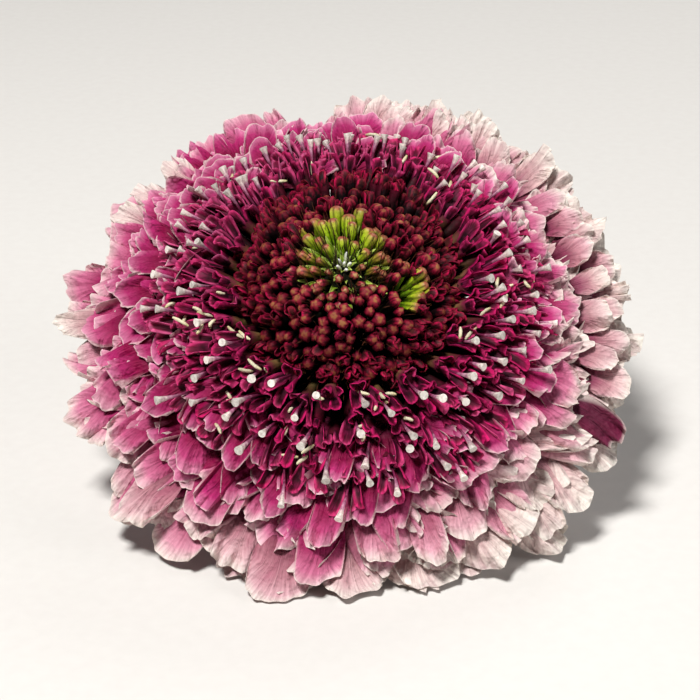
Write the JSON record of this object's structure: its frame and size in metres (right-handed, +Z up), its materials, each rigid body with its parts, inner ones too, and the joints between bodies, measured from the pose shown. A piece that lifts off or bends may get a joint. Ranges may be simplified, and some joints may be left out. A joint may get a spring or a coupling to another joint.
{
  "type": "scabiosa flower",
  "caption": "Cut pincushion flower lying down: a domed head of green and red buds, disc florets and three whorls of ruffled ray florets over green bracts, on a bent stem.",
  "frame": {"origin": "on the surface that the flower lies on, under the middle of its bounding box", "axes": "+Z up. The cut stem lies along +Y, and the head faces up and towards -Y"},
  "size_m": [0.0644, 0.1086, 0.038],
  "materials": {
    "crown_buds": "closed green buds, waxy and slightly glossy",
    "ripe_buds": "closed wine-red buds with olive tips, satin",
    "disc_florets": "magenta petal tissue, velvety, with white stigmas",
    "inner_ray_florets": "magenta to pink petal tissue, soft satin",
    "middle_ray_florets": "pink petal tissue, soft satin",
    "outer_ray_florets": "pale blush petal tissue, soft satin, thin and translucent",
    "bracts": "green, finely hairy bracts, matte",
    "stem": "green ribbed herbaceous stem, finely hairy, satin"
  },
  "bodies": {
    "root": {"crown_buds": "crown_buds", "ripe_buds": "ripe_buds", "disc_florets": "disc_florets", "inner_ray_florets": "inner_ray_florets", "middle_ray_florets": "middle_ray_florets", "outer_ray_florets": "outer_ray_florets", "bracts": "bracts", "stem": "stem"}
  },
  "joints": []
}
